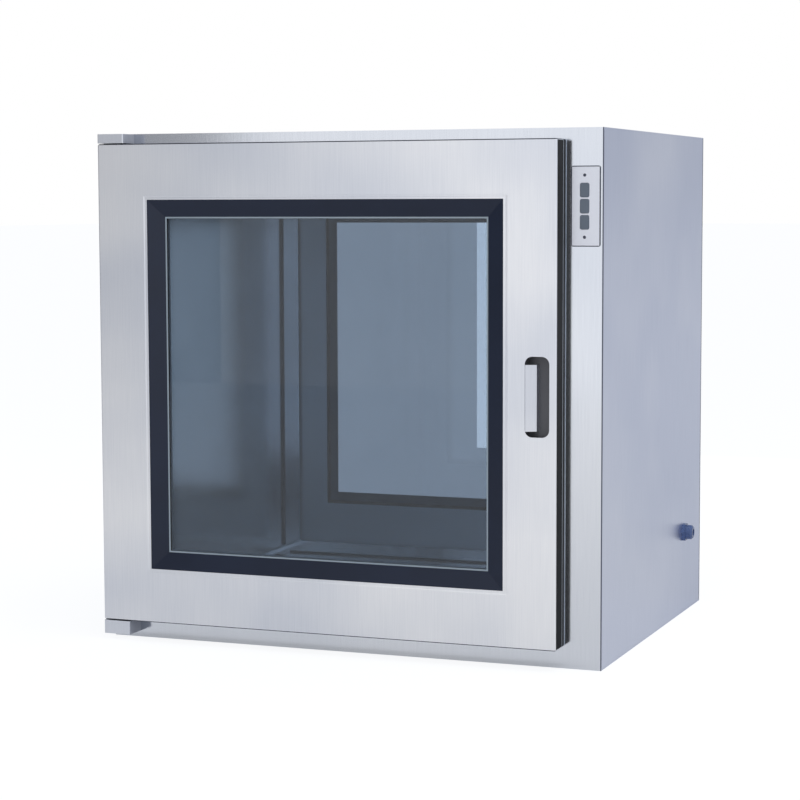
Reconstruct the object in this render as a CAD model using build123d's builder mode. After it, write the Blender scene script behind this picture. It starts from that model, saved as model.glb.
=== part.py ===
from build123d import *
import os

# Cleanroom pass box with two interlocked glazed doors, in millimetres, +Z up.
# The origin is the middle of the footprint, on the surface the box stands on; the front faces -Y.
# Everything at the front is built once and mirrored in the XZ plane for the rear.
os.makedirs("parts", exist_ok=True)

# Cabinet
cabinet_width = 708
cabinet_depth = 545
cabinet_height = 700
sheet = 1.5
bend = 2
panel_flange = 13
cover_flange = 24
flange_gap = 0.5

# Chamber: the mouth in each frame, and the wider coved tube behind it
mouth_left = 47
mouth_right = 83
mouth_bottom = 58
mouth_head = 53
mouth_corner = 5
chamber_left_lip = 29
chamber_floor_lip = 20
chamber_cove = 12

# Doors
door_strip = 51
door_bottom = 28
door_head = 14
door_thickness = 27
door_corner = 3
gasket_gap = 5.6
body_gap = 0.3
fit_gap = 0.1
core_gap = 0.4

# Window
window_left = 75
window_right = 72
window_bottom = 75
window_head = 76
window_lip = 3
lip_height = 0.8
border_width = 23
border_edge = 1
border_slope = 8
border_depth = 9
border_flange = 5
pane_thickness = 5
pane_inset = 2
spacer_depth = 5
spacer_width = 10
spacer_reveal = 2
seal_reveal = 5

# Pull handle recess
handle_width = 33
handle_height = 104
handle_corner = 10
handle_right = 10
handle_bottom = 276.5
handle_depth = 18
ramp_width = 13.5
ramp_depth = 7
ramp_top_inset = 11
ramp_bottom_inset = 7
handle_undercut = 5
handle_lip = 4
cup_wall = 1.5

# Pivot hinges
block_width = 39.5
block_edge = 1.5
block_clearance = 1
block_top_reveal = 0.5
lower_block_bottom = 8.4
pivot_inset = 12
pin_radius = 4
pin_fit = 0.05
pin_engagement = 20
bush_wall = 2
bush_length = 18
bush_flange = 2
pivot_block_width = 28
pivot_block_height = 22
pivot_block_edge = 0.8
screw_radius = 2
screw_head_radius = 3.4
screw_head_height = 2.6
screw_depth = 12
screw_inset = 9

# Door seal
gasket_width = 10
gasket_inset = 4
gasket_hinge_inset = 16
gasket_corner = 12
gasket_round = 2.4

# Electromagnetic lock
magnet_length = 100
magnet_height = 18
magnet_depth = 25
magnet_inset = 73
magnet_rise = 4.5
magnet_ear = 12
magnet_ear_thickness = 3
armature_margin = 6

# Keypad
keypad_width = 39
keypad_height = 103
keypad_right = 3.5
keypad_head = 48.5
keypad_corner = 3
keypad_thickness = 1.2
keypad_rim = 3
button_width = 12
button_height = 18
button_corner = 2.3
button_pitch = 20.5
button_offset = -1.5
button_rise = 0.8
button_travel = 0.8
button_flange = 1.2
button_flange_height = 0.8
button_flange_thickness = 2
stem_radius = 2.5
stem_length = 3
switch_size = 6
switch_height = 2
board_thickness = 1.6
housing_wall = 2.5
led_radius = 2
led_rise = 0.5
led_spacing = 79

# Cable gland on the right-hand side
gland_y = 168.5
gland_z = 120
gland_bore_radius = 5
gland_neck_radius = 8
gland_neck_length = 14
gland_hex = 24
gland_hex_length = 5
gland_cap_radius = 10.5
gland_cap_length = 10
gland_cap_edge = 2.5
locknut_length = 5

# Ceiling lamps
lamp_length = 330
lamp_width = 80
lamp_height = 36
lamp_sheet = 1
lamp_rim = 10
tube_radius = 8
tube_spacing = 38
socket_length = 12
socket_width = 22
socket_height = 27
tube_drop = 17

# Electrical equipment in the wall cavities
ballast_length = 150
ballast_width = 40
ballast_height = 30
ballast_x = -250
supply_size = (32, 98, 129)
supply_y = 120
supply_z = 300
board_size = (1.6, 110, 150)
board_y = -60
board_z = 420
standoff_height = 8
standoff_radius = 3
standoff_inset = 8
relay_size = (15, 19, 29)
relay_spacing = 34
relay_count = 3
cover_screw_rows = 3
cover_screw_spacing = 220
cover_screw_length = 8

# Places that follow from the sizes
left = -cabinet_width / 2
right = cabinet_width / 2
front = cabinet_depth / 2
inside = cabinet_width / 2 - sheet

mouth_width = cabinet_width - mouth_left - mouth_right
mouth_height = cabinet_height - mouth_bottom - mouth_head
mouth_x = left + mouth_left + mouth_width / 2
mouth_z = mouth_bottom + mouth_height / 2
mouth_top = mouth_bottom + mouth_height
chamber_width = mouth_width + chamber_left_lip
chamber_height = mouth_height + chamber_floor_lip
chamber_x = mouth_x - chamber_left_lip / 2
chamber_z = mouth_z - chamber_floor_lip / 2
liner_depth = cabinet_depth - 2 * sheet
liner_top = mouth_top + sheet
liner_right = mouth_x + mouth_width / 2 + sheet

door_width = cabinet_width - door_strip
door_height = cabinet_height - door_bottom - door_head
door_face = front + gasket_gap + door_thickness
door_back = front + gasket_gap
door_right = left + door_width
door_x = left + door_width / 2
door_z = door_bottom + door_height / 2
door_top = door_bottom + door_height
skin_depth = door_thickness - sheet

window_width = door_width - window_left - window_right
window_height = door_height - window_bottom - window_head
window_x = left + window_left + window_width / 2
window_z = door_bottom + window_bottom + window_height / 2
flange_width = window_width + 2 * border_flange
flange_height = window_height + 2 * border_flange
glass_width = window_width - 2 * border_width
glass_height = window_height - 2 * border_width
pane_width = flange_width - 2 * pane_inset
pane_height = flange_height - 2 * pane_inset
outer_pane_front = door_face - border_depth
spacer_front = outer_pane_front - pane_thickness
inner_pane_front = spacer_front - spacer_depth
seal_front = inner_pane_front - pane_thickness
pan_front = door_back + sheet

handle_x = door_right - handle_right - handle_width / 2
handle_z = door_bottom + handle_bottom + handle_height / 2

pivot_x = left + pivot_inset
pivot_y = front + gasket_gap + door_thickness / 2
bush_radius = pin_radius + pin_fit + bush_wall
block_spans = [
    (lower_block_bottom, door_bottom - block_clearance),
    (door_top + block_clearance, cabinet_height - block_top_reveal),
]
screw_points = [
    (left + x, (bottom + top) / 2)
    for bottom, top in block_spans
    for x in (screw_inset, block_width - screw_inset)
]

magnet_x = door_right - magnet_inset - magnet_length / 2
magnet_z = mouth_top + magnet_rise + magnet_height / 2
keypad_x = right - keypad_right - keypad_width / 2
keypad_z = cabinet_height - keypad_head - keypad_height / 2
button_x = keypad_x + button_offset
keypad_opening_width = keypad_width - 2 * keypad_rim
keypad_opening_height = keypad_height - 2 * keypad_rim
housing_width = keypad_opening_width + 2 * housing_wall
housing_height = keypad_opening_height + 2 * housing_wall
button_flange_front = front - body_gap
stem_end = button_flange_front - button_flange_thickness - stem_length
switch_front = stem_end - button_travel - body_gap
board_front = switch_front - switch_height
button_heights = [keypad_z + (1 - i) * button_pitch for i in range(3)]
led_points = [(button_x, keypad_z + s * led_spacing / 2) for s in (1, -1)]

cover_screw_points = [
    (s * (cabinet_width / 2 - panel_flange / 2), (i - (cover_screw_rows - 1) / 2) * cover_screw_spacing)
    for s in (-1, 1)
    for i in range(cover_screw_rows)
]


def write(piece, name):
    """Label one finished piece and write it under its own name."""
    piece.label = name
    export_step(piece, f"parts/{name}.step")


def write_pair(builder, name):
    """Write a front piece and its mirror image at the rear."""
    write(builder.part, f"front_{name}")
    write(mirror(builder.part, about=Plane.XZ), f"rear_{name}")


# --- Front and rear frames: flat faces with the chamber mouth, keypad and magnet cut-outs ---
with BuildPart() as frame:
    with BuildSketch(Plane.XZ.offset(front)):
        with Locations((0, cabinet_height / 2)):
            Rectangle(cabinet_width, cabinet_height)
        with Locations((mouth_x, mouth_z)):
            RectangleRounded(mouth_width, mouth_height, mouth_corner, mode=Mode.SUBTRACT)
        with Locations((magnet_x, magnet_z)):
            Rectangle(magnet_length + 2 * fit_gap, magnet_height + 2 * fit_gap, mode=Mode.SUBTRACT)
        with Locations((keypad_x, keypad_z)):
            Rectangle(keypad_opening_width, keypad_opening_height, mode=Mode.SUBTRACT)
        with Locations(*screw_points):
            Circle(screw_radius + fit_gap, mode=Mode.SUBTRACT)
    extrude(amount=-sheet)
write_pair(frame, "frame")


# --- Side panels: trays folded inwards on all four edges ---
def side_panel(side):
    """One side panel; side is 1 on the right, -1 on the left."""
    with BuildPart() as panel:
        with BuildSketch(Plane.XY.offset(sheet)):
            with Locations((side * (right - panel_flange / 2), 0)):
                Rectangle(panel_flange, cabinet_depth - 2 * sheet)
        extrude(amount=cabinet_height - 2 * sheet)
        outer_face = panel.faces().sort_by(Axis.X)[-1 if side > 0 else 0]
        fillet(outer_face.edges(), bend)
        inner_face = panel.faces().sort_by(Axis.X)[0 if side > 0 else -1]
        offset(amount=-sheet, openings=inner_face)
        with BuildSketch(Plane.XY.offset(cabinet_height)):
            with Locations(*cover_screw_points):
                Circle(screw_radius + fit_gap)
        extrude(amount=-3 * sheet, mode=Mode.SUBTRACT)
        if side > 0:
            with BuildSketch(Plane.YZ.offset(right)):
                with Locations((gland_y, gland_z)):
                    Circle(gland_neck_radius + fit_gap)
            extrude(amount=-panel_flange, mode=Mode.SUBTRACT)
            with BuildSketch(Plane.XZ.offset(front)):
                with Locations((keypad_x, keypad_z)):
                    Rectangle(housing_width + 2 * flange_gap, housing_height + 2 * flange_gap)
            extrude(amount=-cabinet_depth, mode=Mode.SUBTRACT)
        else:
            with BuildSketch(Plane.XZ.offset(front)):
                with Locations(*screw_points):
                    Circle(screw_radius + fit_gap)
            extrude(amount=-cabinet_depth, mode=Mode.SUBTRACT)
    return panel.part


write(side_panel(1), "right_side_panel")
write(side_panel(-1), "left_side_panel")


# --- Top cover and base pan: plates with a folded flange behind each frame ---
def cover(plate_bottom, flange_bottom):
    """A full-width plate with front and rear flanges, holed for the hinge screws."""
    with BuildPart() as plate:
        with BuildSketch(Plane.XY.offset(plate_bottom)):
            Rectangle(cabinet_width, cabinet_depth - 2 * sheet)
        extrude(amount=sheet)
        with BuildSketch(Plane.XY.offset(flange_bottom)):
            with GridLocations(0, cabinet_depth - 3 * sheet, 1, 2):
                Rectangle(cabinet_width - 2 * (panel_flange + flange_gap), sheet)
        extrude(amount=cover_flange)
        with BuildSketch(Plane.XZ.offset(front)):
            with Locations(*screw_points):
                Circle(screw_radius + fit_gap)
        extrude(amount=-cabinet_depth, mode=Mode.SUBTRACT)
    return plate


with BuildPart() as top_cover:
    add(cover(cabinet_height - sheet, cabinet_height - cover_flange).part)
    with Locations(Plane.XY.offset(cabinet_height)):
        with Locations(*cover_screw_points):
            CounterSinkHole(screw_radius + fit_gap, screw_head_radius + fit_gap, depth=2 * sheet,
                            counter_sink_angle=90)
write(top_cover.part, "top_cover")
write(cover(0, 0).part, "base_pan")

with BuildPart() as cover_screws:
    with BuildSketch(Plane.XY.offset(cabinet_height)):
        with Locations(*cover_screw_points):
            Circle(screw_head_radius)
    extrude(amount=-(screw_head_radius - screw_radius), taper=45)
    with BuildSketch(Plane.XY.offset(cabinet_height - (screw_head_radius - screw_radius))):
        with Locations(*cover_screw_points):
            Circle(screw_radius)
    extrude(amount=-cover_screw_length)
write(cover_screws.part, "top_cover_screws")

# --- Chamber liner: one coved tube between the frames with the lamp opening in its ceiling ---
with BuildPart() as chamber_liner:
    with BuildSketch(Plane.XZ.offset(front - sheet)):
        with Locations((chamber_x, chamber_z)):
            RectangleRounded(chamber_width + 2 * sheet, chamber_height + 2 * sheet, chamber_cove + sheet)
            RectangleRounded(chamber_width, chamber_height, chamber_cove, mode=Mode.SUBTRACT)
    extrude(amount=-liner_depth)
    with BuildSketch(Plane.XY.offset(liner_top)):
        with Locations((mouth_x, 0)):
            Rectangle(lamp_length, lamp_width)
    extrude(amount=-2 * sheet, mode=Mode.SUBTRACT)
write(chamber_liner.part, "chamber_liner")

# --- Ceiling lamps: recessed trough, two tubes and their four sockets, ballast beside it ---
trough_top = liner_top + lamp_height
tube_z = trough_top - lamp_sheet - tube_drop
tube_length = lamp_length - 2 * socket_length
with BuildPart() as lamp_trough:
    with BuildSketch(Plane.XY.offset(liner_top)):
        with Locations((mouth_x, 0)):
            Rectangle(lamp_length + 2 * lamp_rim, lamp_width + 2 * lamp_rim)
            Rectangle(lamp_length, lamp_width, mode=Mode.SUBTRACT)
    extrude(amount=lamp_sheet)
    with BuildSketch(Plane.XY.offset(liner_top)):
        with Locations((mouth_x, 0)):
            Rectangle(lamp_length + 2 * lamp_sheet, lamp_width + 2 * lamp_sheet)
    extrude(amount=lamp_height)
    with BuildSketch(Plane.XY.offset(liner_top)):
        with Locations((mouth_x, 0)):
            Rectangle(lamp_length, lamp_width)
    extrude(amount=lamp_height - lamp_sheet, mode=Mode.SUBTRACT)
write(lamp_trough.part, "lamp_trough")

with BuildPart() as lamp_tubes:
    with BuildSketch(Plane.YZ.offset(mouth_x - tube_length / 2)):
        with Locations((0, tube_z)):
            with GridLocations(tube_spacing, 0, 2, 1):
                Circle(tube_radius)
    extrude(amount=tube_length)
write(lamp_tubes.part, "lamp_tubes")

with BuildPart() as lamp_sockets:
    with BuildSketch(Plane.XY.offset(trough_top - lamp_sheet)):
        with Locations((mouth_x, 0)):
            with GridLocations(tube_length + socket_length, tube_spacing, 2, 2):
                Rectangle(socket_length, socket_width)
    extrude(amount=-socket_height)
    fillet(lamp_sockets.edges().filter_by(Axis.X).group_by(Axis.Z)[0], socket_width / 4)
write(lamp_sockets.part, "lamp_sockets")

with BuildPart() as lamp_ballast:
    with BuildSketch(Plane.XY.offset(liner_top)):
        with Locations((ballast_x, 0)):
            Rectangle(ballast_width, ballast_length)
    extrude(amount=ballast_height)
    fillet(lamp_ballast.edges().filter_by(Axis.Y).group_by(Axis.Z)[-1], bend)
write(lamp_ballast.part, "lamp_ballast")

# --- Interlock board and power supply on the liner's right-hand wall ---
with BuildPart() as power_supply:
    with BuildSketch(Plane.YZ.offset(liner_right)):
        with Locations((supply_y, supply_z)):
            Rectangle(supply_size[1], supply_size[2])
    extrude(amount=supply_size[0])
    fillet(power_supply.edges().group_by(Axis.X)[-1], bend)
write(power_supply.part, "power_supply")

with BuildPart() as interlock_board:
    with BuildSketch(Plane.YZ.offset(liner_right)):
        with Locations((board_y, board_z)):
            with GridLocations(board_size[1] - 2 * standoff_inset, board_size[2] - 2 * standoff_inset, 2, 2):
                Circle(standoff_radius)
    extrude(amount=standoff_height)
    with BuildSketch(Plane.YZ.offset(liner_right + standoff_height)):
        with Locations((board_y, board_z)):
            Rectangle(board_size[1], board_size[2])
    extrude(amount=board_size[0])
    with BuildSketch(Plane.YZ.offset(liner_right + standoff_height + board_size[0])):
        with Locations((board_y, board_z)):
            with GridLocations(0, relay_spacing, 1, relay_count):
                Rectangle(relay_size[1], relay_size[2])
    extrude(amount=relay_size[0])
write(interlock_board.part, "interlock_board")

# --- Cable gland: hexagon seat, domed cap and neck through the panel, with its locknut inside ---
with BuildPart() as cable_gland:
    with BuildSketch(Plane.YZ.offset(right)):
        with Locations((gland_y, gland_z)):
            RegularPolygon(gland_hex / 2, 6, major_radius=False)
    extrude(amount=gland_hex_length)
    with BuildSketch(Plane.YZ.offset(right + gland_hex_length)):
        with Locations((gland_y, gland_z)):
            Circle(gland_cap_radius)
    extrude(amount=gland_cap_length)
    chamfer(cable_gland.edges().group_by(Axis.X)[-1], gland_cap_edge)
    with BuildSketch(Plane.YZ.offset(right)):
        with Locations((gland_y, gland_z)):
            Circle(gland_neck_radius)
    extrude(amount=-gland_neck_length)
    with BuildSketch(Plane.YZ.offset(right - gland_neck_length)):
        with Locations((gland_y, gland_z)):
            Circle(gland_bore_radius)
    extrude(amount=gland_neck_length + gland_hex_length + gland_cap_length, mode=Mode.SUBTRACT)
write(cable_gland.part, "cable_gland")

with BuildPart() as gland_locknut:
    with BuildSketch(Plane.YZ.offset(inside)):
        with Locations((gland_y, gland_z)):
            RegularPolygon(gland_hex / 2, 6, major_radius=False)
            Circle(gland_neck_radius + fit_gap, mode=Mode.SUBTRACT)
    extrude(amount=-locknut_length)
write(gland_locknut.part, "gland_locknut")

# --- Hinge blocks: one above and one below the door's left-hand corner, flush with its face ---
with BuildPart() as hinge_blocks:
    for bottom, top in block_spans:
        with BuildSketch(Plane.XY.offset(bottom)):
            with Locations((left + block_width / 2, -(front + door_face) / 2)):
                Rectangle(block_width, door_face - front)
        extrude(amount=top - bottom)
    fillet(hinge_blocks.edges().filter_by(Axis.Z).group_by(Axis.Y)[0], block_edge)
    for bottom, top in block_spans:
        with BuildSketch(Plane.XY.offset(bottom)):
            with Locations((pivot_x, -pivot_y)):
                Circle(pin_radius + pin_fit)
        extrude(amount=top - bottom, mode=Mode.SUBTRACT)
    with BuildSketch(Plane.XZ.offset(front)):
        with Locations(*screw_points):
            Circle(screw_radius + fit_gap)
    extrude(amount=screw_depth, mode=Mode.SUBTRACT)
write_pair(hinge_blocks, "hinge_blocks")

# --- Hinge pins, fixed in the blocks and running in the door bushes ---
pin_spans = [
    (lower_block_bottom, door_bottom + pin_engagement),
    (door_top - pin_engagement, cabinet_height - block_top_reveal),
]
with BuildPart() as hinge_pins:
    for bottom, top in pin_spans:
        with BuildSketch(Plane.XY.offset(bottom)):
            with Locations((pivot_x, -pivot_y)):
                Circle(pin_radius)
        extrude(amount=top - bottom)
    mirror(about=Plane.XZ)
write(hinge_pins.part, "hinge_pins")

with BuildPart() as hinge_screws:
    with BuildSketch(Plane.XZ.offset(front - 2 * sheet)):
        with Locations(*screw_points):
            Circle(screw_head_radius)
    extrude(amount=-screw_head_height)
    with BuildSketch(Plane.XZ.offset(front - 2 * sheet)):
        with Locations(*screw_points):
            Circle(screw_radius)
    extrude(amount=2 * sheet + screw_depth - body_gap)
    mirror(about=Plane.XZ)
write(hinge_screws.part, "hinge_block_screws")

# --- Lock magnets behind the frame, pole face flush with it ---
with BuildPart() as lock_magnet:
    with BuildSketch(Plane.XZ.offset(front)):
        with Locations((magnet_x, magnet_z)):
            Rectangle(magnet_length, magnet_height)
    extrude(amount=-magnet_depth)
    with BuildSketch(Plane.XZ.offset(front - sheet)):
        with Locations((magnet_x, magnet_z)):
            Rectangle(magnet_length + 2 * magnet_ear, magnet_height)
    extrude(amount=-magnet_ear_thickness)
write_pair(lock_magnet, "lock_magnet")

# --- Keypad: faced plate, switch board in its housing, three keys and two indicator lamps ---
with BuildPart() as keypad_plate:
    with BuildSketch(Plane.XZ.offset(front)):
        with Locations((keypad_x, keypad_z)):
            RectangleRounded(keypad_width, keypad_height, keypad_corner)
        with Locations(*[(button_x, z) for z in button_heights]):
            RectangleRounded(button_width + 2 * body_gap, button_height + 2 * body_gap,
                             button_corner + body_gap, mode=Mode.SUBTRACT)
        with Locations(*led_points):
            Circle(led_radius + fit_gap, mode=Mode.SUBTRACT)
    extrude(amount=keypad_thickness)
write_pair(keypad_plate, "keypad_plate")

with BuildPart() as keypad_board:
    with BuildSketch(Plane.XZ.offset(front - sheet)):
        with Locations((keypad_x, keypad_z)):
            Rectangle(housing_width, housing_height)
            Rectangle(keypad_opening_width, keypad_opening_height, mode=Mode.SUBTRACT)
    extrude(amount=-(front - sheet - board_front))
    with BuildSketch(Plane.XZ.offset(board_front)):
        with Locations((keypad_x, keypad_z)):
            Rectangle(housing_width, housing_height)
    extrude(amount=-board_thickness)
    with BuildSketch(Plane.XZ.offset(board_front)):
        with Locations(*[(button_x, z) for z in button_heights]):
            Rectangle(switch_size, switch_size)
    extrude(amount=switch_height)
write_pair(keypad_board, "keypad_board")

with BuildPart() as indicator_lamps:
    with BuildSketch(Plane.XZ.offset(board_front)):
        with Locations(*led_points):
            Circle(led_radius)
    extrude(amount=front + keypad_thickness + led_rise - board_front)
    chamfer(indicator_lamps.edges().group_by(Axis.Y)[0], led_rise)
    mirror(about=Plane.XZ)
write(indicator_lamps.part, "indicator_lamps")

for number, key_z in enumerate(button_heights, start=1):
    with BuildPart() as key:
        with BuildSketch(Plane.XZ.offset(button_flange_front)):
            with Locations((button_x, key_z)):
                RectangleRounded(button_width, button_height, button_corner)
        extrude(amount=front + keypad_thickness + button_rise - button_flange_front)
        chamfer(key.faces().sort_by(Axis.Y)[0].edges(), button_rise / 2)
        with BuildSketch(Plane.XZ.offset(button_flange_front)):
            with Locations((button_x, key_z)):
                Rectangle(button_width + 2 * button_flange, button_height + 2 * button_flange_height)
        extrude(amount=-button_flange_thickness)
        with BuildSketch(Plane.XZ.offset(button_flange_front - button_flange_thickness)):
            with Locations((button_x, key_z)):
                Circle(stem_radius)
        extrude(amount=-stem_length)
    write_pair(key, f"key_{number}")

# --- Door skin: folded tray with the window and handle cut-outs and a raised window lip ---
with BuildPart() as door_skin:
    with BuildSketch(Plane.XZ.offset(door_face)):
        with Locations((door_x, door_z)):
            RectangleRounded(door_width, door_height, door_corner)
    extrude(amount=-skin_depth)
    fillet(door_skin.faces().sort_by(Axis.Y)[0].edges(), bend)
    offset(amount=-sheet, openings=door_skin.faces().sort_by(Axis.Y)[-1])
    with BuildSketch(Plane.XZ.offset(door_face)):
        with Locations((window_x, window_z)):
            Rectangle(window_width + 2 * window_lip, window_height + 2 * window_lip)
    extrude(amount=lip_height)
    fillet(door_skin.faces().sort_by(Axis.Y)[0].edges(), lip_height / 2)
    with BuildSketch(Plane.XZ.offset(door_face + lip_height)):
        with Locations((window_x, window_z)):
            Rectangle(window_width, window_height)
        with Locations((handle_x, handle_z)):
            RectangleRounded(handle_width, handle_height, handle_corner)
    extrude(amount=-(lip_height + sheet), mode=Mode.SUBTRACT)
    with BuildSketch(Plane.XY.offset(door_bottom)):
        with Locations((pivot_x, -pivot_y)):
            Circle(bush_radius + fit_gap)
    extrude(amount=door_height, mode=Mode.SUBTRACT)
write_pair(door_skin, "door_skin")

# --- Door pan: the inner sheet that closes the tray and frames the glass ---
with BuildPart() as door_pan:
    with BuildSketch(Plane.XZ.offset(door_back)):
        with Locations((door_x, door_z)):
            RectangleRounded(door_width, door_height, door_corner)
        with Locations((window_x, window_z)):
            Rectangle(glass_width + 2 * seal_reveal, glass_height + 2 * seal_reveal, mode=Mode.SUBTRACT)
    extrude(amount=sheet)
    fillet(door_pan.faces().sort_by(Axis.Y)[-1].outer_wire().edges(), sheet / 2)
write_pair(door_pan, "door_pan")

# --- Pivot blocks: solid corners that carry the bushes inside the door ---
pivot_block_spans = [
    (door_bottom + sheet, door_bottom + sheet + pivot_block_height),
    (door_top - sheet - pivot_block_height, door_top - sheet),
]
pivot_block_x = left + sheet + pivot_block_width / 2
with BuildPart() as pivot_blocks:
    with BuildSketch(Plane.XZ.offset(door_face - sheet)):
        with Locations(*[(pivot_block_x, (bottom + top) / 2) for bottom, top in pivot_block_spans]):
            RectangleRounded(pivot_block_width, pivot_block_height, door_corner - sheet)
    extrude(amount=-(door_face - sheet - pan_front))
    chamfer(pivot_blocks.edges().group_by(Axis.Y)[0], pivot_block_edge)
    for bottom, top in pivot_block_spans:
        with BuildSketch(Plane.XY.offset(bottom)):
            with Locations((pivot_x, -pivot_y)):
                Circle(bush_radius + fit_gap)
        extrude(amount=top - bottom, mode=Mode.SUBTRACT)
write_pair(pivot_blocks, "pivot_blocks")

# --- Hinge bushes: flanged, with the flange between the door edge and the hinge block ---
bush_flange_thickness = block_clearance - body_gap
with BuildPart() as hinge_bushes:
    for edge, outward in ((door_bottom, -1), (door_top, 1)):
        with BuildSketch(Plane.XY.offset(edge)):
            with Locations((pivot_x, -pivot_y)):
                Circle(bush_radius + bush_flange)
                Circle(pin_radius + pin_fit, mode=Mode.SUBTRACT)
        extrude(amount=outward * bush_flange_thickness)
        with BuildSketch(Plane.XY.offset(edge)):
            with Locations((pivot_x, -pivot_y)):
                Circle(bush_radius)
                Circle(pin_radius + pin_fit, mode=Mode.SUBTRACT)
        extrude(amount=-outward * bush_length)
write_pair(hinge_bushes, "hinge_bushes")

# --- Handle cup: moulded recess with a finger undercut behind the skin on the closing side ---
cup_left = handle_x - handle_width / 2
cup_right = handle_x + handle_width / 2
cup_face = door_face - sheet
cup_back = cup_face - handle_depth
with BuildPart() as handle_cup:
    with BuildSketch(Plane.XY.offset(handle_z - handle_height / 2 - cup_wall)):
        with BuildLine():
            Polyline(
                (cup_left - cup_wall, -cup_face),
                (cup_left - cup_wall, -cup_back + cup_wall),
                (cup_right + handle_undercut + cup_wall, -cup_back + cup_wall),
                (cup_right + handle_undercut + cup_wall, -cup_face),
                close=True,
            )
        make_face()
    extrude(amount=handle_height + 2 * cup_wall)
    with BuildSketch(Plane.XY.offset(handle_z - handle_height / 2)):
        with BuildLine():
            Polyline(
                (cup_left, -cup_face),
                (cup_left, -cup_back),
                (cup_right + handle_undercut, -cup_back),
                (cup_right + handle_undercut, -cup_face + handle_lip),
                (cup_right, -cup_face + handle_lip),
                (cup_right, -cup_face),
                close=True,
            )
        make_face()
    extrude(amount=handle_height, mode=Mode.SUBTRACT)
write_pair(handle_cup, "handle_cup")

# --- Handle ramp: folded steel strip in the cup that slopes in from the hand side ---
ramp_left = cup_left + fit_gap
ramp_right = cup_left + ramp_width
with BuildPart() as handle_ramp:
    with BuildSketch(Plane.XY.offset(handle_z - handle_height / 2 + ramp_bottom_inset)):
        with BuildLine():
            Polyline(
                (ramp_left, -cup_face + fit_gap),
                (ramp_right, -cup_face + ramp_depth),
                (ramp_right, -cup_back - fit_gap),
                (ramp_right - cup_wall, -cup_back - fit_gap),
                (ramp_right - cup_wall, -cup_face + ramp_depth + cup_wall),
                (ramp_left, -cup_face + cup_wall),
                close=True,
            )
        make_face()
    extrude(amount=handle_height - ramp_top_inset - ramp_bottom_inset)
write_pair(handle_ramp, "handle_ramp")

# --- Door core: board that stiffens the door round the glass, pocketed for cup and pivot blocks ---
with BuildPart() as door_core:
    with BuildSketch(Plane.XZ.offset(door_face - sheet)):
        with Locations((door_x, door_z)):
            RectangleRounded(door_width - 2 * (sheet + core_gap), door_height - 2 * (sheet + core_gap),
                             door_corner - sheet)
        with Locations((window_x, window_z)):
            Rectangle(flange_width + 2 * core_gap, flange_height + 2 * core_gap, mode=Mode.SUBTRACT)
        with Locations((handle_x + handle_undercut / 2, handle_z)):
            Rectangle(handle_width + handle_undercut + 2 * (cup_wall + core_gap),
                      handle_height + 2 * (cup_wall + core_gap), mode=Mode.SUBTRACT)
        with Locations(*[(pivot_block_x, (bottom + top) / 2) for bottom, top in pivot_block_spans]):
            Rectangle(pivot_block_width + 2 * (core_gap + sheet), pivot_block_height + 2 * (core_gap + sheet),
                      mode=Mode.SUBTRACT)
    extrude(amount=-(door_face - sheet - pan_front))
    chamfer(door_core.faces().sort_by(Axis.Y)[0].outer_wire().edges(), pivot_block_edge)
write_pair(door_core, "door_core")

# --- Glazing frame: black border sloping back to the glass, mitred at its corners ---
with BuildPart() as glazing_frame:
    with BuildSketch(Plane.XZ.offset(door_face)):
        with Locations((window_x, window_z)):
            Rectangle(window_width, window_height)
    extrude(amount=-sheet)
    with BuildSketch(Plane.XZ.offset(door_face - sheet)):
        with Locations((window_x, window_z)):
            Rectangle(flange_width, flange_height)
    extrude(amount=-(border_depth - sheet))
    with BuildSketch(Plane.XZ.offset(door_face)):
        with Locations((window_x, window_z)):
            Rectangle(window_width - 2 * border_edge, window_height - 2 * border_edge)
    with BuildSketch(Plane.XZ.offset(door_face - border_slope)):
        with Locations((window_x, window_z)):
            Rectangle(glass_width, glass_height)
    loft(mode=Mode.SUBTRACT)
    with BuildSketch(Plane.XZ.offset(door_face - border_slope)):
        with Locations((window_x, window_z)):
            Rectangle(glass_width, glass_height)
    extrude(amount=-(border_depth - border_slope), mode=Mode.SUBTRACT)
write_pair(glazing_frame, "glazing_frame")

# --- Glass: two panes with a spacer between them and a seal against the pan ---
for name, pane_front in (("outer_glass", outer_pane_front), ("inner_glass", inner_pane_front)):
    with BuildPart() as pane:
        with BuildSketch(Plane.XZ.offset(pane_front)):
            with Locations((window_x, window_z)):
                Rectangle(pane_width, pane_height)
        extrude(amount=-pane_thickness)
    write_pair(pane, name)

spacer_opening_width = glass_width - 2 * spacer_reveal
spacer_opening_height = glass_height - 2 * spacer_reveal
with BuildPart() as glass_spacer:
    with BuildSketch(Plane.XZ.offset(spacer_front)):
        with Locations((window_x, window_z)):
            Rectangle(spacer_opening_width + 2 * spacer_width, spacer_opening_height + 2 * spacer_width)
            Rectangle(spacer_opening_width, spacer_opening_height, mode=Mode.SUBTRACT)
    extrude(amount=-spacer_depth)
write_pair(glass_spacer, "glass_spacer")

with BuildPart() as glass_seal:
    with BuildSketch(Plane.XZ.offset(seal_front)):
        with Locations((window_x, window_z)):
            Rectangle(pane_width, pane_height)
            Rectangle(glass_width, glass_height, mode=Mode.SUBTRACT)
    extrude(amount=-(seal_front - pan_front))
write_pair(glass_seal, "glass_seal")

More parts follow.
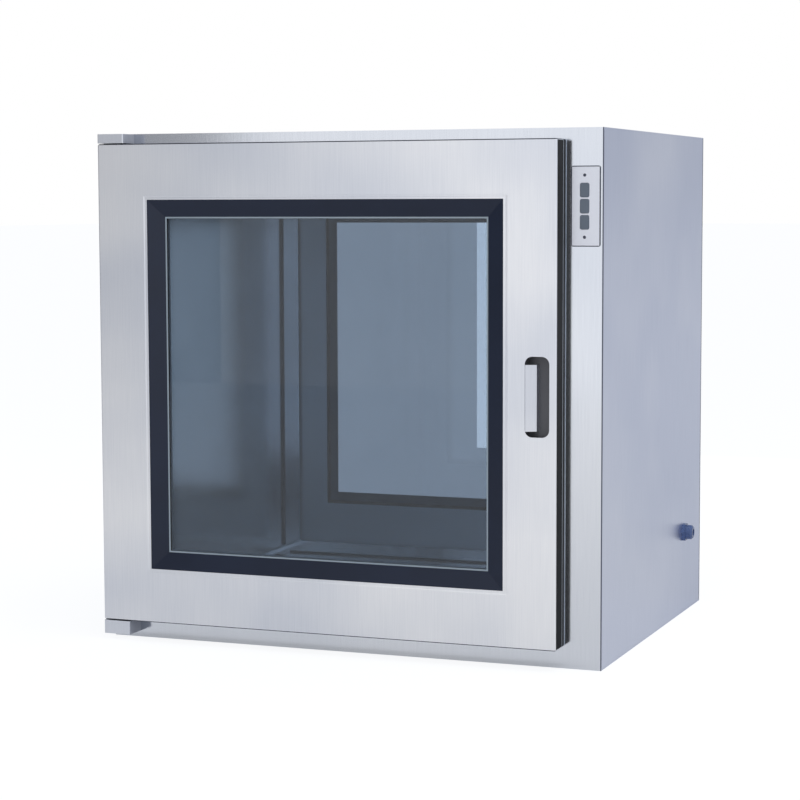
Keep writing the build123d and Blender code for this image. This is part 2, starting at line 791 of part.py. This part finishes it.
# --- Door gasket: bulb seal on the pan, clear of the pivot so that it only ever moves away ---
gasket_left = left + gasket_hinge_inset
gasket_outer_width = door_right - gasket_inset - gasket_left
gasket_outer_height = door_height - 2 * gasket_inset
with BuildPart() as door_gasket:
    with BuildSketch(Plane.XZ.offset(door_back)):
        with Locations((gasket_left + gasket_outer_width / 2, door_z)):
            RectangleRounded(gasket_outer_width, gasket_outer_height, gasket_corner)
            RectangleRounded(gasket_outer_width - 2 * gasket_width, gasket_outer_height - 2 * gasket_width,
                             gasket_corner - gasket_width, mode=Mode.SUBTRACT)
    extrude(amount=-(gasket_gap - body_gap))
    fillet(door_gasket.faces().sort_by(Axis.Y)[-1].outer_wire().edges(), gasket_round)
write_pair(door_gasket, "door_gasket")

# --- Armature: the plate on the pan that the lock magnet holds ---
with BuildPart() as lock_armature:
    with BuildSketch(Plane.XZ.offset(door_back)):
        with Locations((magnet_x, magnet_z)):
            Rectangle(magnet_length - 2 * armature_margin, magnet_height)
    extrude(amount=-(gasket_gap - body_gap))
write_pair(lock_armature, "lock_armature")
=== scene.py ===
import math
import bmesh
import bpy
from mathutils import Matrix, Vector


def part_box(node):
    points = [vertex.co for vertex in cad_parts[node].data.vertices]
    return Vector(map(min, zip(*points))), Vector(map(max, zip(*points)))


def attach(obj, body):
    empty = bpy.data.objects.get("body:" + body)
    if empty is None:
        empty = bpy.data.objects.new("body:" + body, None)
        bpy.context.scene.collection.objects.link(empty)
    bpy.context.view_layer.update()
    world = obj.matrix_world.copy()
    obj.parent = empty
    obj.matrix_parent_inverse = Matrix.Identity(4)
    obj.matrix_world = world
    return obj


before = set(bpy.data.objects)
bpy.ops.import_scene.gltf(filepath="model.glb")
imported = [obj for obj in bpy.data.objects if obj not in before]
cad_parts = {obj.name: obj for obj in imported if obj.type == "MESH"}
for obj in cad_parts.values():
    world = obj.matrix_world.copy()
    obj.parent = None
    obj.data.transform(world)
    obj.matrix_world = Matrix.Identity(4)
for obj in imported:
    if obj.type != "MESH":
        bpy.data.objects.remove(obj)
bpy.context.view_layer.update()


# ---- Satin stainless sheet -------------------------------------------------------------------
# The cabinet panels, door skins and hinge blocks are 1.5 mm 304 stainless with a fine satin grain.
# The grain runs upright; handling and rolling leave broad, faint cool and warm patches.
def linear(code):
    """A colour written as sRGB hex, as the four linear numbers that a shader takes."""
    parts = [int(code[i:i + 2], 16) / 255 for i in (1, 3, 5)]
    return [c / 12.92 if c <= 0.04045 else ((c + 0.055) / 1.055) ** 2.4 for c in parts] + [1.0]


def add(tree, kind, inputs=None, **settings):
    """Adds a shader node with its settings; an input that is another node's output is linked."""
    made = tree.nodes.new(kind)
    for name, value in settings.items():
        setattr(made, name, value)
    for name, value in (inputs or {}).items():
        if isinstance(value, bpy.types.NodeSocket):
            tree.links.new(value, made.inputs[name])
        else:
            made.inputs[name].default_value = value
    return made


def new_material(name):
    """An empty node material; returns it with its tree, its output and the object coordinates."""
    made = bpy.data.materials.new(name)
    made.use_nodes = True
    tree = made.node_tree
    tree.nodes.clear()
    output = add(tree, "ShaderNodeOutputMaterial")
    place = add(tree, "ShaderNodeTexCoord").outputs["Object"]
    return made, tree, output, place


def satin_steel(name, pale, deep, rough, grain_mm=1.2, grain_axis=2, streak=0.05, patch_mm=260, metal=1.0,
                edge_mm=None, edge_tones=("#0e0f11", "#16171a"), shade_rims_mm=()):
    """Stainless sheet: broad patches between two tones and a fine grain along one axis.

    Past edge_mm in X the surface is matt and takes the two edge tones, painted light and
    shade on that edge: dark on the doors and frames, pale on the hinge blocks. Below the
    first rim height and above the second the colour is a painted dark line, the shade in the
    gap round the door. A real satin grain is about a tenth of a millimetre wide, so it is
    drawn ten times coarser, where it just shows.
    """
    made, tree, output, place = new_material(name)
    grain_stretch = 0.02
    sheet_glint, matt_glint = 0.5, 0.02
    # The rim tone is painted shade: the dark line of the gap round the door.
    streak_tone, gap_shade_tone = "#f1f2f4", "#474c5a"
    stretch = [1.0 if axis != grain_axis else grain_stretch for axis in range(3)]
    patches = add(tree, "ShaderNodeTexNoise",
                  {"Vector": place, "Scale": 1000 / patch_mm, "Detail": 2.0, "Roughness": 0.45})
    tone = add(tree, "ShaderNodeMapRange", {"Value": patches.outputs["Fac"], "From Min": 0.35, "From Max": 0.65})
    lines = add(tree, "ShaderNodeMapping", {"Vector": place, "Scale": stretch})
    grain = add(tree, "ShaderNodeTexNoise",
                {"Vector": lines.outputs["Vector"], "Scale": 1000 / grain_mm, "Detail": 3.0})
    colour = add(tree, "ShaderNodeMix", {0: tone.outputs["Result"], 6: linear(deep), 7: linear(pale)},
                 data_type="RGBA")
    streaked = add(tree, "ShaderNodeMix", {0: grain.outputs["Fac"], 6: linear("#ffffff"), 7: linear(streak_tone)},
                   data_type="RGBA")
    both = add(tree, "ShaderNodeMix", {0: 1.0, 6: colour.outputs[2], 7: streaked.outputs[2]},
               data_type="RGBA", blend_type="MULTIPLY")
    surface, glint = both.outputs[2], sheet_glint
    # Painted shade: below the first height and above the second, a dark line along the door's top and bottom, where
    # the gap round it is in shade.
    for height, test in zip(shade_rims_mm, ("LESS_THAN", "GREATER_THAN")):
        up = add(tree, "ShaderNodeSeparateXYZ", {"Vector": place}).outputs["Z"]
        rim = add(tree, "ShaderNodeMath", {0: up, 1: height / 1000}, operation=test)
        surface = add(tree, "ShaderNodeMix", {0: rim.outputs[0], 6: surface, 7: linear(gap_shade_tone)},
                      data_type="RGBA").outputs[2]
    # Painted edge: past edge_mm in X the colour becomes two matt tones that stand for the light and shade seen on
    # that edge.
    if edge_mm is not None:
        across = add(tree, "ShaderNodeSeparateXYZ", {"Vector": place}).outputs["X"]
        past = add(tree, "ShaderNodeMath", {0: across, 1: edge_mm / 1000}, operation="GREATER_THAN")
        painted_edge_tone = add(tree, "ShaderNodeMix",
                   {0: grain.outputs["Fac"], 6: linear(edge_tones[0]), 7: linear(edge_tones[1])}, data_type="RGBA")
        surface = add(tree, "ShaderNodeMix", {0: past.outputs[0], 6: surface, 7: painted_edge_tone.outputs[2]},
                      data_type="RGBA").outputs[2]
        metal = add(tree, "ShaderNodeMath", {0: 1.0, 1: past.outputs[0]}, operation="SUBTRACT").outputs[0]
        glint = add(tree, "ShaderNodeMapRange",
                    {"Value": past.outputs[0], "To Min": sheet_glint, "To Max": matt_glint}).outputs["Result"]
    polish = add(tree, "ShaderNodeMapRange",
                 {"Value": grain.outputs["Fac"], "To Min": rough - streak, "To Max": rough + streak})
    relief = add(tree, "ShaderNodeBump", {"Height": grain.outputs["Fac"], "Strength": 0.045, "Distance": 0.0002})
    shader = add(tree, "ShaderNodeBsdfPrincipled", {
        "Base Color": surface, "Metallic": metal, "Specular IOR Level": glint, "Roughness": polish.outputs["Result"],
        "Normal": relief.outputs["Normal"]})
    tree.links.new(shader.outputs["BSDF"], output.inputs["Surface"])
    return made


def dress(material, *nodes):
    """Gives CAD nodes a material in every slot."""
    for name in nodes:
        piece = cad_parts[name]
        if not piece.data.materials:
            piece.data.materials.append(material)
        for index in range(len(piece.data.materials)):
            piece.data.materials[index] = material


ends = ("front", "rear")
# Satin 304: a soft, upright sheen. The doors are a shade paler than the cabinet. Their edge that
# meets the strip is painted dark and matt, a painted dark reflection, and a painted shade line runs
# along their top and bottom; the blocks' edge takes the same matt paint in a pale tone, a painted light.
cabinet_steel = satin_steel("satin_stainless_cabinet", "#d6dbe9", "#c6cde0", 0.34)
door_steel = satin_steel("satin_stainless_door", "#fcfcfd", "#e5e8ef", 0.36, streak=0.04, patch_mm=240,
                         edge_mm=302.7, shade_rims_mm=(29.3, 684.7))
dress(cabinet_steel, "left_side_panel", "right_side_panel", "top_cover", "base_pan")
dress(door_steel, *[f"{end}_door_skin" for end in ends])
block_steel = satin_steel("satin_stainless_block", "#f0f2f6", "#dde1ea", 0.34,
                          edge_mm=-314.8, edge_tones=("#c6cad4", "#b9bdc8"))
dress(block_steel, *[f"{end}_hinge_blocks" for end in ends])

# ---- Seams ------------------------------------------------------------------------------------
# The V where the side panels meet the frames holds a dark strip, a painted shade; the panels meet
# the top and the base in welds that are ground flush. Dark beads run along the chamber tube's joins
# with both frames inside.
def set_piece(name, mesh, material, body):
    """Makes an object of a finished bmesh, in one material, that rides a body."""
    data = bpy.data.meshes.new(name)
    mesh.to_mesh(data)
    mesh.free()
    made = bpy.data.objects.new(name, data)
    bpy.context.scene.collection.objects.link(made)
    data.materials.append(material)
    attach(made, body)


def bar(name, low, high, material, body="cabinet"):
    """A slim box between two corners, with eased edges."""
    mesh = bmesh.new()
    bmesh.ops.create_cube(mesh, size=1.0)
    size = Vector(high) - Vector(low)
    bmesh.ops.scale(mesh, vec=size, verts=mesh.verts)
    bmesh.ops.translate(mesh, vec=(Vector(high) + Vector(low)) / 2, verts=mesh.verts)
    bmesh.ops.bevel(mesh, geom=mesh.edges[:], offset=min(size) * 0.25, offset_type="OFFSET", segments=2,
                    profile=0.5, affect="EDGES", material=-1)
    set_piece(name, mesh, material, body)


# A dull dark grey with a faint grain along it: painted shade in the outer corner seams, and the dark beads in the
# chamber.
seam_shade_grey = satin_steel("dark_bead_and_seam_shade", "#4a5060", "#3c4250", 0.6, metal=0.0)
seam_in, seam_out = 0.3525, 0.35395
weld_end = 0.2695
for right, hand in ((-1, "left"), (1, "right")):
    x = sorted((right * seam_in, right * seam_out))
    for rear, end in ((-1, "front"), (1, "rear")):
        y = sorted((rear * 0.2698, rear * 0.27105))
        # A dark strip in each outer corner seam: painted shade where the panel's bend meets the frame.
        bar(f"corner_seam_shade_{hand}_{end}", (x[0], y[0], 0.0030), (x[1], y[1], 0.6970), seam_shade_grey)
    for level, z in (("top", (0.6966, 0.6987)), ("base", (0.0013, 0.0034))):
        bar(f"{level}_weld_{hand}", (x[0], -weld_end, z[0]), (x[1], weld_end, z[1]), cabinet_steel)

# The chamber's beads stop short of its coved corners.
bead_width, frame_back = 0.0028, 0.2708
for end, near in (("front", -frame_back), ("rear", frame_back - bead_width)):
    bar(f"chamber_bead_{end}_left", (-0.3358, near, 0.0500), (-0.3330, near + bead_width, 0.6350), seam_shade_grey)
    bar(f"chamber_bead_{end}_floor", (-0.3240, near, 0.0382), (0.2590, near + bead_width, 0.0408), seam_shade_grey)

# ---- Bright frame faces and chamber liner -----------------------------------------------------
# The frame faces are bright annealed sheet, smoother than the panels, so they mirror the door's
# edge. The liner and the door pans are the same sheet, wiped often, and darker in their own shade.
# Past 352.9 mm in X the frame's edge is painted a dark grey line, the shade in the corner where the frame meets the
# side panel.
frame_steel = satin_steel("bright_annealed_frame", "#eceef2", "#dde1e8", 0.12, streak=0.02, patch_mm=400,
                          edge_mm=352.9, edge_tones=("#6a6e7e", "#5d6172"))
# A bright liner blurs what it mirrors along its grain; the pans are cooler and duller.
liner_steel = satin_steel("mirror_stainless_liner", "#e8ecec", "#dbe0e1", 0.24, grain_axis=1, streak=0.04,
                          patch_mm=200)
pan_steel = satin_steel("satin_stainless_pan", "#e3edf7", "#d6e1ec", 0.36, patch_mm=200, metal=0.6)
dress(frame_steel, *[f"{end}_frame" for end in ends])
dress(liner_steel, "chamber_liner")
dress(pan_steel, *[f"{end}_door_pan" for end in ends])
dress(door_steel, *[f"{end}_handle_ramp" for end in ends])


# ---- Mouldings: glazing border, gaskets, seals, gland, keys -----------------------------------
# The border is a satin black moulding with mitred corners around the glass. The gasket and the
# seals are compression-moulded black EPDM, and the pull's cup is injection-moulded nylon.
def moulded(name, colour, shade, rough, grit_mm=0.6, relief=0.15, glint=0.5):
    """A moulded plastic or rubber surface with a fine grit and a slight tone change.

    The mould's spark-eroded grit is finer than this in life, and is drawn where it just shows.
    """
    made, tree, output, place = new_material(name)
    grit = add(tree, "ShaderNodeTexNoise", {"Vector": place, "Scale": 1000 / grit_mm, "Detail": 2.0})
    cloud = add(tree, "ShaderNodeTexNoise", {"Vector": place, "Scale": 18.0, "Detail": 3.0})
    tone = add(tree, "ShaderNodeMix", {0: cloud.outputs["Fac"], 6: linear(colour), 7: linear(shade)},
               data_type="RGBA")
    gloss_spread = 0.06
    gloss = add(tree, "ShaderNodeMapRange", {
        "Value": cloud.outputs["Fac"], "To Min": rough - gloss_spread, "To Max": rough + gloss_spread})
    bump = add(tree, "ShaderNodeBump", {"Height": grit.outputs["Fac"], "Strength": relief, "Distance": 0.0001})
    shader = add(tree, "ShaderNodeBsdfPrincipled", {
        "Base Color": tone.outputs[2], "Roughness": gloss.outputs["Result"], "Specular IOR Level": glint,
        "Normal": bump.outputs["Normal"]})
    tree.links.new(shader.outputs["BSDF"], output.inputs["Surface"])
    return made


# The border has a low satin shine; the rubber is dull; the nylon cup has some gloss, and its dark mid grey is
# painted shade, the shade deep in the pull's recess.
border_black = moulded("satin_black_border", "#182032", "#202a40", 0.34, relief=0.05, glint=0.3)
epdm_black = moulded("black_epdm", "#17181b", "#222428", 0.55)
dress(border_black, *[f"{end}_glazing_frame" for end in ends])
# The cup is coloured dark grey as painted shade for the pull's recess.
cup_shade_grey = moulded("nylon_cup_painted_shade", "#65666b", "#595a5f", 0.35, relief=0.08)
dress(cup_shade_grey, *[f"{end}_handle_cup" for end in ends])
dress(epdm_black, *[f"{end}_{n}" for end in ends for n in ("glass_seal", "door_gasket")])


# ---- Glass ------------------------------------------------------------------------------------
# Each door has two panes of 5 mm toughened float glass, faintly blue-grey, bedded in the border and
# in the pan. Light from the lamps passes through them into the chamber.
def float_glass(name, tint, pale, lamp_tint):
    """Clear glass that lets lamps through, with a trace of uneven tint across the sheet."""
    made, tree, output, place = new_material(name)
    haze = add(tree, "ShaderNodeTexNoise", {"Vector": place, "Scale": 7.0, "Detail": 4.0})
    cast = add(tree, "ShaderNodeMix", {0: haze.outputs["Fac"], 6: linear(tint), 7: linear(pale)}, data_type="RGBA")
    pane = add(tree, "ShaderNodeBsdfPrincipled", {
        "Base Color": cast.outputs[2], "Roughness": 0.0, "Transmission Weight": 1.0, "IOR": 1.45})
    clear = add(tree, "ShaderNodeBsdfTransparent", {"Color": linear(lamp_tint)})
    ray = add(tree, "ShaderNodeLightPath").outputs["Is Shadow Ray"]
    mix = add(tree, "ShaderNodeMixShader", {0: ray, 1: pane.outputs["BSDF"], 2: clear.outputs["BSDF"]})
    tree.links.new(mix.outputs["Shader"], output.inputs["Surface"])
    return made


pane_glass = float_glass("float_glass", "#dee5ec", "#e5ebf1", "#dfe6ee")
dress(pane_glass, *[f"{end}_{n}" for end in ends for n in ("outer_glass", "inner_glass")])


# ---- Glazing beads ----------------------------------------------------------------------------
# A thin clear-grey silicone fillet seals each outer pane to the black border. The rear pane is
# bedded on the chamber side in a wider black bead, laid up to the edge of the pan's opening.
def ring(name, outer, inner, front, back, material, body, slope=0.0):
    """A rectangular ring; outer and inner are (x0, z0, x1, z1), front and back are in Y.

    The front face sinks by slope from its outer to its inner edge.
    """
    mesh = bmesh.new()
    loops = []
    for y in (front, back):
        for box in (outer, inner):
            x0, z0, x1, z1 = box
            sunk = slope if y == front and x0 == inner[0] else 0.0
            corners = ((x0, z0), (x1, z0), (x1, z1), (x0, z1))
            loops.append([mesh.verts.new((x, y - sunk, z)) for x, z in corners])
    out_front, in_front, out_back, in_back = loops
    pairs = ((out_front, in_front), (in_front, in_back), (in_back, out_back), (out_back, out_front))
    for first, second in pairs:
        for i in range(4):
            j = (i + 1) % 4
            mesh.faces.new((first[i], first[j], second[j], second[i]))
    bmesh.ops.recalc_face_normals(mesh, faces=mesh.faces)
    edges = [e for e in mesh.edges if e.calc_face_angle(0) > 1]
    bmesh.ops.bevel(mesh, geom=edges, offset=abs(front - back) * 0.3, offset_type="OFFSET", segments=2,
                    profile=0.5, affect="EDGES", material=-1)
    set_piece(name, mesh, material, body)


def grown(box, amount):
    """The rectangle box made larger on every side by amount."""
    return (box[0] - amount, box[1] - amount, box[2] + amount, box[3] + amount)


window = (-0.256, 0.126, 0.208, 0.587)
door_edge = (-0.338, 0.0285, 0.3026, 0.6855)
# Silicone cures clear and glossy; butyl stays dull and slightly blue.
fillet_grey = moulded("clear_grey_silicone", "#a3b1bb", "#96a5b0", 0.25, relief=0.05)
bead_black = moulded("blue_black_butyl_bead", "#2b4058", "#344a62", 0.5)
strip_grey = moulded("grey_butyl_strip", "#76838f", "#6b7884", 0.5, relief=0.1)
for end, side in (("front", -1), ("rear", 1)):
    ring(f"{end}_glass_fillet", grown(window, -0.0001), grown(window, -0.0023), side * 0.2970, side * 0.2961,
         fillet_grey, f"{end}_door")
    ring(f"{end}_spacer_strip", grown(window, 0.0000), grown(window, -0.0030), side * 0.2909, side * 0.2861,
         strip_grey, f"{end}_door")
    ring(f"{end}_window_rim", grown(window, 0.0288), grown(window, 0.0231), side * 0.3057, side * 0.3049,
         door_steel, f"{end}_door", slope=side * 0.0005)
    ring(f"{end}_gasket_lip", door_edge, grown(door_edge, -0.0045), side * 0.2780, side * 0.2729,
         epdm_black, f"{end}_door")
ring("rear_chamber_bead", grown(window, 0.0048), grown(window, -0.0135), 0.2797, 0.2811, bead_black, "rear_door")


# ---- Spacer, hinge and lock metal -------------------------------------------------------------
# The spacer is black anodised aluminium; pins, screws, armatures and magnets are plain ground steel.
black_anodised = satin_steel("black_anodised_spacer", "#1f2126", "#17191d", 0.4, grain_mm=0.8)
ground_steel = satin_steel("ground_steel", "#b8babf", "#9da0a6", 0.3, grain_mm=0.6, grain_axis=0)
dress(black_anodised, *[f"{end}_glass_spacer" for end in ends])
dress(ground_steel, "hinge_pins", "hinge_block_screws", "top_cover_screws",
      *[f"{end}_{n}" for end in ends for n in ("pivot_blocks", "lock_armature", "lock_magnet")])
nylon_white = moulded("natural_nylon", "#dcdcd2", "#cfcfc6", 0.45)
dress(nylon_white, *[f"{end}_hinge_bushes" for end in ends])
foam_board = moulded("foam_board", "#c9c2a6", "#b8b196", 0.85, grit_mm=2.0, relief=0.4)
dress(foam_board, *[f"{end}_door_core" for end in ends])

# ---- Key panel --------------------------------------------------------------------------------
# A screen-printed polyester face with a dark edge line is stuck to the frame. Three raised grey
# keys and two indicators stand in it, and the switch board is behind it.
def printed_film(name, face, node):
    """Semi-gloss polyester with a fine tooth and a dark line round its edge."""
    made, tree, output, place = new_material(name)
    low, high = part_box(node)
    line_width = 0.0013
    at = add(tree, "ShaderNodeSeparateXYZ", {"Vector": place})
    reach = []
    for axis, index in (("X", 0), ("Z", 2)):
        middle = (low[index] + high[index]) / 2
        off = add(tree, "ShaderNodeMath", {0: at.outputs[axis], 1: middle}, operation="SUBTRACT")
        size = add(tree, "ShaderNodeMath", {0: off.outputs[0]}, operation="ABSOLUTE")
        inside = (high[index] - low[index]) / 2 - line_width
        past = add(tree, "ShaderNodeMath", {0: size.outputs[0], 1: inside}, operation="GREATER_THAN")
        reach.append(past.outputs[0])
    line = add(tree, "ShaderNodeMath", {0: reach[0], 1: reach[1]}, operation="MAXIMUM")
    tooth = add(tree, "ShaderNodeTexNoise", {"Vector": place, "Scale": 2500.0, "Detail": 2.0})
    shade = add(tree, "ShaderNodeMix", {0: tooth.outputs["Fac"], 6: linear(face), 7: linear("#f0f2f8")},
                data_type="RGBA")
    # Within 1.3 mm of the film's edge the colour turns to a dark grey line.
    dark_outline = add(tree, "ShaderNodeMix", {0: line.outputs[0], 6: shade.outputs[2], 7: linear("#3c4250")},
              data_type="RGBA")
    bump = add(tree, "ShaderNodeBump", {"Height": tooth.outputs["Fac"], "Strength": 0.05, "Distance": 0.0001})
    shader = add(tree, "ShaderNodeBsdfPrincipled", {
        "Base Color": dark_outline.outputs[2], "Roughness": 0.28, "Metallic": 0.35, "Normal": bump.outputs["Normal"]})
    tree.links.new(shader.outputs["BSDF"], output.inputs["Surface"])
    return made


panel_film = printed_film("printed_polyester_film", "#e6e9f3", "front_keypad_plate")
key_grey = moulded("grey_silicone_key", "#707b88", "#646f7c", 0.4)
lamp_lens = moulded("smoked_indicator_lens", "#4c4f60", "#3c3f50", 0.2)
dress(panel_film, *[f"{end}_keypad_plate" for end in ends])
dress(key_grey, *[f"{end}_key_{n}" for end in ends for n in (1, 2, 3)])
dress(lamp_lens, "indicator_lamps")
board_green = moulded("solder_mask_green", "#1f5a38", "#194a2e", 0.35)
dress(board_green, "interlock_board", *[f"{end}_keypad_board" for end in ends])

# ---- Cable gland ------------------------------------------------------------------------------
# The gland is moulded nylon, screwed through the side panel and held by a locknut inside. Its
# polished flats catch the light; its mid blue is lighter than the dark navy nylon, with its blue
# highlights painted into the colour.
gland_blue_and_highlight = moulded("nylon_gland_painted_highlight", "#5c719f", "#4a5e8b", 0.2)
dress(gland_blue_and_highlight, "cable_gland", "gland_locknut")

# ---- Ceiling lamps ----------------------------------------------------------------------------
# A powder-coated steel trough in the chamber's ceiling holds two lamp tubes in moulded holders. The
# power supply and the ballast have the same white coat.
coated_white = moulded("white_powder_coat", "#e4e6e6", "#dadcdc", 0.45, grit_mm=1.0)
holder_white = moulded("white_lamp_holder", "#e8e8e4", "#deded8", 0.3)
dress(coated_white, "lamp_trough", "power_supply", "lamp_ballast")
dress(holder_white, "lamp_sockets")
tube_glass = float_glass("lamp_tube_glass", "#eef3f8", "#f6f9fb", "#e6ebf0")
dress(tube_glass, "lamp_tubes")

# ---- Studio -----------------------------------------------------------------------------------
# A pale paper floor in a white room, whose left side is darker, lit by three softboxes: a large one
# in front, a small one behind the rear door and one above.
floor_mesh = bpy.data.meshes.new("floor")
sheet_mesh = bmesh.new()
bmesh.ops.create_grid(sheet_mesh, x_segments=1, y_segments=1, size=30.0)
bmesh.ops.translate(sheet_mesh, vec=(0, 25.7, 0), verts=sheet_mesh.verts)
sheet_mesh.to_mesh(floor_mesh)
sheet_mesh.free()
floor = bpy.data.objects.new("floor", floor_mesh)
bpy.context.scene.collection.objects.link(floor)
paper, paper_tree, paper_out, paper_place = new_material("studio_paper")
path = add(paper_tree, "ShaderNodeLightPath")
# The paper is matt where it takes the shadow, white to the camera and graded in a reflection.
matt = add(paper_tree, "ShaderNodeBsdfDiffuse", {"Color": linear("#dcdde0")})
bright = add(paper_tree, "ShaderNodeEmission", {"Color": linear("#fcfdfe"), "Strength": 1.23})
beyond = add(paper_tree, "ShaderNodeEmission", {"Color": linear("#e6ecf5"), "Strength": 0.58})
direct = add(paper_tree, "ShaderNodeMath", {0: path.outputs["Is Camera Ray"], 1: 0.74}, operation="MULTIPLY")
spot = add(paper_tree, "ShaderNodeSeparateXYZ", {"Vector": paper_place})
off = add(paper_tree, "ShaderNodeMath", {0: spot.outputs["Y"]}, operation="ABSOLUTE")
graded = add(paper_tree, "ShaderNodeMapRange", {
    "Value": off.outputs[0], "From Min": 0.5, "From Max": 3.5, "To Min": 0.3, "To Max": 0.5})
fade = add(paper_tree, "ShaderNodeMapRange", {
    "Value": spot.outputs["X"], "From Min": -2.4, "From Max": -1.0, "To Min": 0.0, "To Max": 1.0})
spread = add(paper_tree, "ShaderNodeMath", {0: graded.outputs["Result"], 1: fade.outputs["Result"]},
             operation="MULTIPLY")
share = add(paper_tree, "ShaderNodeMath",
            {0: path.outputs["Is Glossy Ray"], 1: spread.outputs[0], 2: direct.outputs[0]}, operation="MULTIPLY_ADD")
lit = add(paper_tree, "ShaderNodeMixShader", {0: share.outputs[0], 1: matt.outputs[0], 2: bright.outputs[0]})
either_side = add(paper_tree, "ShaderNodeMixShader", {
    0: path.outputs["Is Transmission Ray"], 1: lit.outputs[0], 2: beyond.outputs[0]})
paper_tree.links.new(either_side.outputs[0], paper_out.inputs["Surface"])
floor_mesh.materials.append(paper)

room = bpy.data.worlds.new("white_room")
bpy.context.scene.world = room
room.use_nodes = True
sky = room.node_tree
sky.nodes.clear()
sight = add(sky, "ShaderNodeLightPath")
way = add(sky, "ShaderNodeSeparateXYZ", {"Vector": add(sky, "ShaderNodeTexCoord").outputs["Generated"]})
level = add(sky, "ShaderNodeMapRange", {
    "Value": way.outputs["X"], "From Min": -0.6, "From Max": 0.25, "To Min": 0.32, "To Max": 0.73})
plain = add(sky, "ShaderNodeBackground", {"Color": linear("#eceff6"), "Strength": level.outputs["Result"]})
behind = add(sky, "ShaderNodeBackground", {"Color": linear("#e6ecf5"), "Strength": 0.58})
around = add(sky, "ShaderNodeMixShader", {
    0: sight.outputs["Is Transmission Ray"], 1: plain.outputs[0], 2: behind.outputs[0]})
seen = add(sky, "ShaderNodeBackground", {"Color": linear("#ffffff"), "Strength": 1.0})
either = add(sky, "ShaderNodeMixShader", {
    0: sight.outputs["Is Camera Ray"], 1: around.outputs[0], 2: seen.outputs[0]})
add(sky, "ShaderNodeOutputWorld", {"Surface": either.outputs[0]})


def soft_lamp(name, place, target, width, height, watts, through=False):
    """A rectangular softbox at place, facing target; only a through one is seen through glass."""
    data = bpy.data.lights.new(name, "AREA")
    data.shape = "RECTANGLE"
    data.size = width
    data.size_y = height
    data.energy = watts
    lamp = bpy.data.objects.new(name, data)
    bpy.context.scene.collection.objects.link(lamp)
    lamp.location = place
    lamp.rotation_euler = (Vector(target) - Vector(place)).to_track_quat("-Z", "Y").to_euler()
    lamp.visible_camera = False
    lamp.visible_transmission = through


soft_lamp("front_softbox", (0.3, -4.3, 2.3), (0.3, 0, 2.3), 4.8, 4.6, 42)
soft_lamp("rear_softbox", (-0.25, 2.15, 1.0), (-0.25, 0, 1.0), 0.8, 2.0, 3.4, through=True)
soft_lamp("top_softbox", (0.7, -0.6, 3.2), (0, 0, 0.35), 2.0, 2.0, 18)

# ---- Camera -----------------------------------------------------------------------------------
# It stands to the right of the front, a little lower than the box's top, and looks slightly down; its
# lens is long, so upright edges stay nearly parallel.
view_data = bpy.data.cameras.new("camera")
view_data.sensor_width = 36
view_data.lens = 99.36
camera = bpy.data.objects.new("camera", view_data)
bpy.context.scene.collection.objects.link(camera)
camera.matrix_world = (Matrix.Translation((1.1238, -2.9945, 0.6063))
                       @ Matrix.Rotation(math.radians(21.05), 4, "Z")
                       @ Matrix.Rotation(math.radians(90 - 5.13), 4, "X")
                       @ Matrix.Rotation(math.radians(-0.17), 4, "Z"))
bpy.context.scene.camera = camera
bpy.context.scene.view_settings.view_transform = "Standard"
